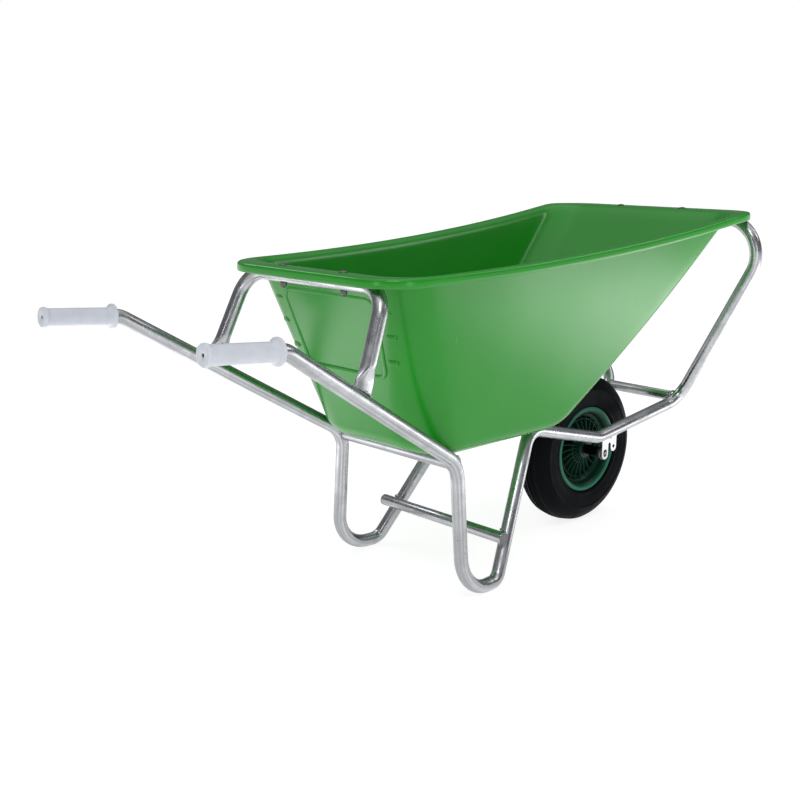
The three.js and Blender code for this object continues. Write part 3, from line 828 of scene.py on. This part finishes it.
def axle_parts():
    shoulder = BRACKET_Y - BRACKET_THICKNESS / 2 - 0.3
    tip = BRACKET_Y + BRACKET_THICKNESS / 2 + 1
    rod = bmesh.new()
    turned([(0, -shoulder), (AXLE_RADIUS - 0.8, -shoulder), (AXLE_RADIUS, 0.8 - shoulder),
            (AXLE_RADIUS, shoulder - 0.8), (AXLE_RADIUS - 0.8, shoulder), (0, shoulder)],
           40, moved(*WHEEL), rod)
    for _, side in SIDES:
        turned([(0, shoulder - 1), (AXLE_END_RADIUS, shoulder - 1), (AXLE_END_RADIUS, tip - 0.6),
                (AXLE_END_RADIUS - 0.8, tip), (0, tip)], 28, facing(side, *WHEEL), rod)
    hardware("axle_rod", rod, "axle")
    for label, side in SIDES:
        here = facing(side, *WHEEL)
        washer = turned(ring_outline(10.6, 18, shoulder - 3, shoulder - 0.5), 36, here)
        hardware(f"axle_washer_disc_{label}", washer, f"axle_washer_{label}")
        nut = bmesh.new()
        hex_prism(nut, 15, 9, here @ moved(0, shoulder - 12.6, 0))
        hardware(f"axle_hex_nut_{label}", nut, f"axle_nut_{label}", crease=25)
        spacer = turned(ring_outline(10.6, 13.5, 41, shoulder - 12.9, 0.8), 36, here)
        hardware(f"axle_spacer_tube_{label}", spacer, f"axle_spacer_{label}", BLACKENED)


# ---- wheel ----


def both_sides(half):
    return [*half, *[(r, -y) for r, y in reversed(half)]]


def tyre():
    """Carcass with a bead, two raised sidewall rings and a ribbed tread."""
    tread = [(184, 38.5), (188, 35.5), (191.6, 32)]
    for edge, deep in ((25, 22.5), (13.5, 11), (3.4, 1.4)):
        tread += [(200 - edge * edge * 0.0095, edge + 1.6), (196.4, edge), (196.4, deep),
                  (200 - deep * deep * 0.0095, deep - 1.3)]
    outer = [(103.6, 33.4), (106, 35.5), (112, 37), (115.4, 37.8), (117, 40), (118.4, 43.6),
             (121.5, 44.6), (122.4, 45.8), (124, 45.8), (125, 45.4), (132, 47.4), (142, 48.6),
             (152, 48.9), (160, 48.5), (161, 49), (163, 48.8), (164, 47.9), (172, 45.6),
             (179, 42), *tread[:-1]]
    inner = both_sides([(103.6, 21.5), (112, 27), (128, 37.5), (152, 40.5), (174, 34),
                        (188.5, 9)])
    outline = both_sides(outer) + inner[::-1]
    shell = turned(outline, 120, moved(*WHEEL))
    piece("tyre_carcass", shell, TYRE_BLACK, "tyre_rubber", ("tyre",), "wheel", 50)


def inner_tube():
    """The tube inside the tyre is the CAD's own mesh, with only its material changed."""
    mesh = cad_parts["inner_tube"].data
    mesh.materials.clear()
    mesh.materials.append(TYRE_BLACK)


def blade_line(reach_in, reach_out, swing):
    """Middle line of one fan blade, seen along the axle, as (radial, sideways) pairs."""
    spots = []
    for k in range(9):
        share = k / 8
        radial = reach_in + (reach_out - reach_in) * share
        spots.append((radial, swing * share ** 2))
    return spots


def fan_blade(shell, angle, place):
    """A thin curved vane, wide at the hub and low at the rim."""
    line = blade_line(24, 96, 22)
    rings = []
    for k, (radial, sideways) in enumerate(line):
        share = k / (len(line) - 1)
        width = 29 - 12 * share
        thick = 1.5 - 0.35 * share
        before = line[max(0, k - 1)]
        after = line[min(len(line) - 1, k + 1)]
        slope = math.atan2(after[1] - before[1], after[0] - before[0])
        ring = []
        for across, y in ((-1, -width), (-0.55, -width - 1), (0.55, -width - 1), (1, -width),
                          (1, width), (0.55, width + 1), (-0.55, width + 1), (-1, width)):
            r = radial - across * thick * math.sin(slope)
            t = sideways + across * thick * math.cos(slope)
            ring.append(place @ Vector((
                r * math.cos(angle) - t * math.sin(angle), y,
                r * math.sin(angle) + t * math.cos(angle))))
        rings.append(ring)
    add_rings(shell, rings)


def wheel_centre():
    shell = bmesh.new()
    here = moved(*WHEEL)
    tyre_side = [(114.5, 41.5), (114.9, 40.2), (114.5, 38.4), (110, 36), (103, 34.5),
                 (101.5, 30), (100, 20), (97, 16.5), (92, 15)]
    hub_side = [(111.5, 42.2), (107, 42), (103.5, 39.5), (99.5, 36.8), (97, 34), (95.5, 27),
                (94, 22), (89, 19), (86, 16)]
    turned(both_sides(tyre_side) + both_sides(hub_side)[::-1], 120, here, shell)
    hub = [(14.4, -38), (24, -38), (25.4, -36.8), (26.4, -20), (27.5, 0), (26.4, 20),
           (25.4, 36.8), (24, 38), (14.4, 38)]
    turned(hub, 60, here, shell)
    turned([(24, -1.8), (88, -1.8), (88, 1.8), (24, 1.8)], 96, here, shell)
    for side in (1, -1):
        flip = facing(side, *WHEEL)
        turned([(78.4, 1), (81.6, 1), (81.6, 19.4), (80, 20.4), (78.4, 19.4)], 96, flip, shell)
        turned([(38.6, 1), (41.4, 1), (41.4, 25), (40, 26), (38.6, 25)], 72, flip, shell)
    for k in range(BLADES):
        fan_blade(shell, 2 * math.pi * (k + 0.5) / BLADES, here)
    piece("wheel_moulding", shell, WHEEL_GREEN, "wheel_plastic", ("wheel_centre",), "wheel")


def toward_valve():
    return moved(*WHEEL) @ Matrix.Rotation(VALVE_ANGLE, 4, "Y") @ (
        Matrix.Rotation(-math.pi / 2, 4, "Z"))


def wheel_trims():
    place = toward_valve()
    stem = turned([(0, 66), (3.3, 66), (3.4, 78), (4.2, 80), (4.2, 92.6), (0, 92.6)], 24, place)
    piece("valve_stem_rubber", stem, TYRE_BLACK, "valve_rubber", ("valve_stem",), "wheel")
    ridged = [(3.6, 66.5), (3.6, 62.4), (0, 62.4), (0, 59.6), (4, 59.6), (4.7, 60.4)]
    for k in range(4):
        ridged += [(4.95, 61.2 + k * 1.3), (4.7, 61.85 + k * 1.3)]
    cap = turned([*ridged, (4.9, 66.5)], 24, place)
    piece("valve_dust_cap", cap, TYRE_BLACK, "valve_rubber", ("valve_cap",), "wheel")
    for label, side in SIDES:
        bush = turned([(10.3, 26), (14, 26), (14, 38.3), (17.4, 38.3), (18, 38.9), (18, 40),
                       (17.4, 40.6), (10.8, 40.6), (10.3, 40.1)], 40, facing(side, *WHEEL))
        hardware(f"hub_bush_{label}", bush, f"wheel_bush_{label}", BLACKENED, body="wheel")


# ---- tray ----


def mixed(a, b, share):
    return {key: a[key] + (b[key] - a[key]) * share for key in a}


def inset(outline, by):
    return dict(rear=outline["rear"] + by, front=outline["front"] - by,
                rear_half=outline["rear_half"] - by, front_half=outline["front_half"] - by,
                corner=max(10, outline["corner"] - by))


def plan(outline):
    """A trapezium with rounded corners, counter-clockwise, always with as many points."""
    tips = [Vector(tip) for tip in (
        (outline["rear"], -outline["rear_half"]), (outline["front"], -outline["front_half"]),
        (outline["front"], outline["front_half"]), (outline["rear"], outline["rear_half"]))]
    corner = outline["corner"]
    arcs = []
    for k, tip in enumerate(tips):
        before = (tips[k - 1] - tip).normalized()
        after = (tips[(k + 1) % 4] - tip).normalized()
        half = math.acos(before.dot(after)) / 2
        centre = tip + (before + after).normalized() * corner / math.sin(half)
        start = tip + before * corner / math.tan(half) - centre
        swing = (math.pi - 2 * half) / CORNER_STEPS
        arcs.append([
            centre + Matrix.Rotation(swing * step, 2) @ start
            for step in range(CORNER_STEPS + 1)
        ])
    points = []
    for k, corner_arc in enumerate(arcs):
        points += corner_arc
        onto = arcs[(k + 1) % 4][0]
        steps = LONG_STEPS if k % 2 == 0 else END_STEPS
        points += [corner_arc[-1].lerp(onto, j / steps) for j in range(1, steps)]
    return points


def bottom_z(x):
    """Height of the underside of the floor, which curves up toward the rear."""
    along = min(max(0, REAR_LIFT_FROM - x) / REAR_LIFT_LENGTH, 1)
    return FLOOR_Z + REAR_LIFT * along ** 2


def tray_ring(outline, share, lift):
    """One ring of the tray: share of the way up from the floor to the rim, plus a lift."""
    ring = []
    for spot in plan(outline):
        bottom = bottom_z(spot.x)
        z = bottom + (rim_z(spot.x) - bottom) * share + lift
        ring.append(Vector((spot.x, spot.y, z)))
    return ring


def wall(share, by, lift=0):
    return tray_ring(inset(mixed(TRAY_FLOOR, TRAY_TOP, share), by), share, lift)


def lip(by, lift):
    return tray_ring(inset(TRAY_LIP, by), 1, lift)


def quarter(steps=5):
    """Sine and cosine pairs from flat to upright."""
    angles = [math.pi / 2 * k / steps for k in range(steps + 1)]
    return [(math.sin(angle), math.cos(angle)) for angle in angles]


def foot_round(radius, by, lift):
    """The round between the floor and the walls."""
    height = RIM_REAR_Z - FLOOR_Z
    return [wall(radius * (1 - c) / height, by + radius * (1 - s), lift)
            for s, c in quarter(8)]


def rolled(start, corner, end, steps=8):
    """Rings that round off the corner between two rings."""
    rings = []
    for k in range(steps + 1):
        t = k / steps
        rings.append([
            a * (1 - t) ** 2 + b * 2 * t * (1 - t) + c * t ** 2
            for a, b, c in zip(start, corner, end)
        ])
    return rings


def tray_rings():
    outer_walls = [wall(0.09 + 0.057 * k, 0) for k in range(16)]
    outer = [wall(0, 92), wall(0, 60), *foot_round(30, 0, 0), *outer_walls]
    under = [*rolled(wall(0.955, 0), wall(1, 0, -SKIN), wall(1, -16, -SKIN)),
             lip(SKIN + 5, -SKIN), lip(SKIN + 1.5, -SKIN - 1), lip(SKIN, -SKIN - 4),
             lip(SKIN, 1.5 - LIP_DEPTH)]
    edge = [lip(SKIN - 1, -LIP_DEPTH), lip(1, -LIP_DEPTH), lip(0, 1.5 - LIP_DEPTH),
            lip(-0.2, -12), lip(0, -7)]
    shoulder = [lip(7 * (1 - c), -7 * (1 - s)) for s, c in quarter()[1:]]
    roll = rolled(wall(1, -16), wall(1, WALL), wall(0.945, WALL))
    inner_walls = [wall(0.93 - 0.056 * k, WALL) for k in range(16)]
    foot = foot_round(30, 5.5, SKIN)[::-1]
    inner = [*inner_walls, *foot, wall(0, 65, SKIN), wall(0, 97, SKIN)]
    return [*outer, *under, *edge, *shoulder, *roll, *inner]


def moulded(ring):
    """Adds the slight unevenness of a large moulding, so that reflections waver."""
    uneven = []
    for point in ring:
        spot = point * WAVER_FINENESS
        drift = noise.noise(spot) * WAVER
        sway = noise.noise(spot + Vector((7, 3, 5))) * WAVER
        uneven.append(point + Vector((drift, sway, 0)))
    return uneven


def tray():
    shell = bmesh.new()
    add_rings(shell, [moulded(ring) for ring in tray_rings()])
    piece("tray_moulding", shell, TRAY_GREEN, "tray_plastic", ("tray",), crease=50)


def on_rear_wall(y, z):
    """The point of the outer rear wall at this width and height."""
    share = (z - FLOOR_Z) / (RIM_REAR_Z - FLOOR_Z)
    outline = plan(mixed(TRAY_FLOOR, TRAY_TOP, share))
    ring = [point for point in outline if point.x < -100 - 130 * share]
    below = max((p for p in ring if p.y <= y), key=lambda p: p.y)
    above = min((p for p in ring if p.y >= y), key=lambda p: p.y)
    span = above.y - below.y
    x = below.x if span < 1e-6 else below.x + (above.x - below.x) * (y - below.y) / span
    return Vector((x, y, z))


def rounded_rectangle(half_top, half_bottom, low, high, radius, steps=8):
    """Corners of a panel in the YZ plane, its corners rounded, as a closed line."""
    corners = ((half_top, high, 0), (-half_top, high, 90), (-half_bottom, low, 180),
               (half_bottom, low, 270))
    line = []
    for y, z, start in corners:
        centre_y = y - math.copysign(radius, y)
        centre_z = z - radius if z == high else z + radius
        for k in range(steps + 1):
            angle = math.radians(start + 90 * k / steps)
            line.append((centre_y + radius * math.cos(angle), centre_z + radius * math.sin(angle)))
    return line


def finely(line, step, closed=True):
    """The same line with points no further apart than a step."""
    fine = []
    ends = line[1:] + (line[:1] if closed else [])
    for a, b in zip(line, ends):
        parts = max(1, math.ceil(math.dist(a, b) / step))
        fine += [(a[0] + (b[0] - a[0]) * k / parts, a[1] + (b[1] - a[1]) * k / parts)
                 for k in range(parts)]
    return fine if closed else [*fine, line[-1]]


def low_relief(shell, spots, ways, radii, closed):
    """A flattened cord that stands a little proud of the rear wall and stays inside it."""
    sunk = moulded([spot + Vector((RELIEF_DEPTH, 0, 0)) for spot in spots])
    rings = []
    for middle, ring in zip(sunk, sweep_rings(sunk, ways, radii, 24)):
        rings.append([
            Vector((middle.x + (point.x - middle.x) * RELIEF_SQUASH, point.y, point.z))
            for point in ring
        ])
    add_rings(shell, rings, closed)


def rear_panel():
    """The raised outline of a panel and plain level ticks, moulded on the rear wall."""
    shell = bmesh.new()
    outline = finely(rounded_rectangle(**PANEL), 8)
    spots = [on_rear_wall(y, z) for y, z in outline]
    ways = [(spots[(k + 1) % len(spots)] - spots[k - 1]).normalized() for k in range(len(spots))]
    low_relief(shell, spots, ways, [6] * len(spots), closed=True)
    for level, start in TICKS:
        for side in (1, -1):
            line = finely([(side * start, level), (side * (start + TICK_LENGTH), level)], 4, False)
            spots = [on_rear_wall(y, z) for y, z in line]
            ways = [(spots[-1] - spots[0]).normalized()] * len(spots)
            radii = [5.2, *[6.6] * (len(spots) - 2), 5.2]
            low_relief(shell, spots, ways, radii, closed=False)
    piece("tray_rear_panel", shell, TRAY_GREEN, "tray_plastic", crease=60)


# ---- fasteners, grips and plugs ----


def bolt_place(x, y):
    """Stands a piece made along Y on a rim bolt axis, with y = 0 at the top face of the rim."""
    tilt = rim_tilt(x)
    drop = SKIN + 0.3 + TUBE_RADIUS
    top = (x - drop * math.sin(tilt), y, tube_under_rim(x) + drop * math.cos(tilt))
    return moved(*top) @ Matrix.Rotation(-tilt, 4, "Y") @ Matrix.Rotation(math.pi / 2, 4, "X")


def rim_fasteners():
    washer_top = -(SKIN + 0.6 + 2 * TUBE_RADIUS)
    nut_top = washer_top - 1.9
    for place_name, x in (("rear", ARCH_TOP_X), ("front", HOOP_TOP_X)):
        for label, side in SIDES:
            where = f"{place_name}_{label}"
            place = bolt_place(x, side * BOLT_SPREAD)
            bolt = bmesh.new()
            dome = [(9 * c, 1 + 3.6 * s) for s, c in quarter(6)]
            turned([(0, -10), (4, -10), (4, 0.1), (8.8, 0.1), *dome], 32, place, bolt)
            threaded(bolt, 4, -49, -10, 1.25, place)
            hardware(f"rim_coach_bolt_{where}", bolt, f"rim_bolt_{where}")
            washer = turned(ring_outline(4.3, 8, washer_top - 1.6, washer_top, 0.3), 28, place)
            hardware(f"rim_flat_washer_{where}", washer, f"rim_washer_{where}")
            nut = bmesh.new()
            hex_prism(nut, 6.5, 6.5, place @ moved(0, nut_top - 6.5, 0))
            hardware(f"rim_hex_nut_{where}", nut, f"rim_nut_{where}", crease=25)


def handle_place(side):
    """Lays a piece made along Y on the straight end of a handle, y = 0 at the tube's end."""
    end, bend = (Vector((x, side * y, z)) for x, y, z in RAIL_CORNERS[:2])
    turn = Vector((0, 1, 0)).rotation_difference(bend - end).to_matrix().to_4x4()
    return Matrix.Translation(end) @ turn


def grips():
    """Vinyl sleeves with fine grip rings, a bead at the closed end and a flange at the other."""
    barrel = []
    start, stop, rings = 6, GRIP_LENGTH - 30, 34
    for k in range(rings):
        y = start + (stop - start) * k / rings
        pitch = (stop - start) / rings
        barrel += [(18.55, y), (18.85, y + pitch * 0.3), (18.85, y + pitch * 0.6)]
    outline = [
        (4, -11), (4.6, -11.8), (18.5, -12), (20.6, -11.2), (21.4, -9.6), (21.6, -6),
        (21, -4), (19.6, -2.6), (19, -0.5), *barrel, (18.8, GRIP_LENGTH - 20),
        (19.4, GRIP_LENGTH - 13), (21, GRIP_LENGTH - 9.4), (25.4, GRIP_LENGTH - 7.6),
        (26.8, GRIP_LENGTH - 6.4), (27, GRIP_LENGTH - 4.6), (26.6, GRIP_LENGTH - 2.6),
        (25, GRIP_LENGTH - 1.4), (20, GRIP_LENGTH), (16.4, GRIP_LENGTH), (16.3, -0.2),
        (4, -0.2),
    ]
    for label, side in SIDES:
        place = handle_place(side)
        piece(f"grip_sleeve_{label}", turned(outline, 64, place), GRIP_WHITE, "grip_vinyl",
              (f"grip_{label}",), crease=60)
        # Painted shade: a near-black plug fills the small hole in the end of the grip.
        vent = turned([(0, -9.5), (3.9, -9.5), (3.9, -0.4), (0, -0.4)], 20, place)
        piece(f"grip_hole_shade_{label}", vent, HOLE_SHADE, "grip_vinyl")


def stretcher_plugs():
    x, z = STRETCHER
    for label, side in SIDES:
        place = facing(side, x, side * STRETCHER_HALF, z)
        dome = [(13.9 * c, 1.0 + 2.4 * s) for s, c in quarter(6)]
        plug = turned([(0, -10), (10.6, -10), (10.6, 0), (13.6, 0), *dome], 40, place)
        piece(f"stretcher_end_cap_{label}", plug, PLUG_GREY, "plug_plastic",
              (f"stretcher_plug_{label}",))


# ---- studio ----


def studio_floor():
    """A white floor that runs to the horizon."""
    mesh = bpy.data.meshes.new("floor")
    shell = bmesh.new()
    bmesh.ops.create_grid(shell, x_segments=8, y_segments=8, size=30)
    shell.to_mesh(mesh)
    shell.free()
    mesh.materials.append(studio_white())
    floor = bpy.data.objects.new("floor", mesh)
    bpy.context.scene.collection.objects.link(floor)


def sky():
    """Plain white behind the barrow; its light is dim at the horizon and bright overhead."""
    world = bpy.data.worlds.new("studio")
    bpy.context.scene.world = world
    world.use_nodes = True
    tree = world.node_tree
    background = tree.nodes["Background"]
    place = tree.nodes.new("ShaderNodeTexCoord")
    split = tree.nodes.new("ShaderNodeSeparateXYZ")
    tree.links.new(place.outputs["Generated"], split.inputs["Vector"])
    ramp = tree.nodes.new("ShaderNodeValToRGB")
    points = ramp.color_ramp.elements
    points[0].position = 0.01
    points[0].color = (0.8, 0.8, 0.8, 1)
    points[1].position = 0.06
    points[1].color = (0.15, 0.155, 0.165, 1)
    for spot, shade in ((0.62, 0.2), (0.76, 0.65), (0.88, 1.05)):
        point = points.new(spot)
        point.color = (shade, shade, shade * 1.01, 1)
    tree.links.new(split.outputs["Z"], ramp.inputs["Fac"])
    sight = tree.nodes.new("ShaderNodeLightPath")
    mix = tree.nodes.new("ShaderNodeMix")
    mix.data_type = "RGBA"
    mix.inputs[7].default_value = (1, 1, 1, 1)
    tree.links.new(sight.outputs["Is Camera Ray"], mix.inputs[0])
    tree.links.new(ramp.outputs["Color"], mix.inputs[6])
    tree.links.new(mix.outputs[2], background.inputs["Color"])


def lamps():
    """Three softboxes from above and two upright strips behind the camera."""
    middle = (0.1, 0, 0.4)
    for name, spot, aim, width, height, power in (
        ("key_softbox", (-1.6, -1.6, 3.0), middle, 1.0, 1.0, 20),
        ("front_softbox", (2.6, -2.0, 2.6), middle, 1.0, 1.0, 12),
        ("back_softbox", (-0.5, 3.0, 3.0), middle, 1.0, 1.0, 12),
        ("left_strip", (-3.1, -0.7, 0.9), (0, 0, 0.5), 0.35, 1.7, 7),
        ("right_strip", (-0.7, -3.1, 0.9), (0, 0, 0.5), 0.35, 1.7, 7),
    ):
        light = bpy.data.lights.new(name, "AREA")
        light.shape = "RECTANGLE"
        light.size = width
        light.size_y = height
        light.energy = power
        lamp = bpy.data.objects.new(name, light)
        lamp.location = spot
        lamp.rotation_euler = (Vector(aim) - Vector(spot)).to_track_quat("-Z", "Y").to_euler()
        bpy.context.scene.collection.objects.link(lamp)


def camera():
    lens = bpy.data.cameras.new("camera")
    lens.sensor_width = 36
    lens.lens = 52.2
    eye = bpy.data.objects.new("camera", lens)
    eye.location = (-1.911, -1.912, 1.016)
    eye.rotation_euler = (math.radians(90 - 12.7), math.radians(0.1), math.radians(-42.87))
    bpy.context.scene.collection.objects.link(eye)
    bpy.context.scene.camera = eye


def build():
    camera()
    frame_rails()
    front_hoop()
    rear_arch()
    drain_holes()
    cross_tubes()
    cross_tube_welds()
    stretcher_welds()
    bracket_plates()
    axle_parts()
    tyre()
    wheel_centre()
    wheel_trims()
    tray()
    rear_panel()
    rim_fasteners()
    grips()
    stretcher_plugs()
    inner_tube()
    studio_floor()
    sky()
    lamps()
    bpy.context.scene.view_settings.view_transform = "Standard"


build()
bpy.context.view_layer.update()
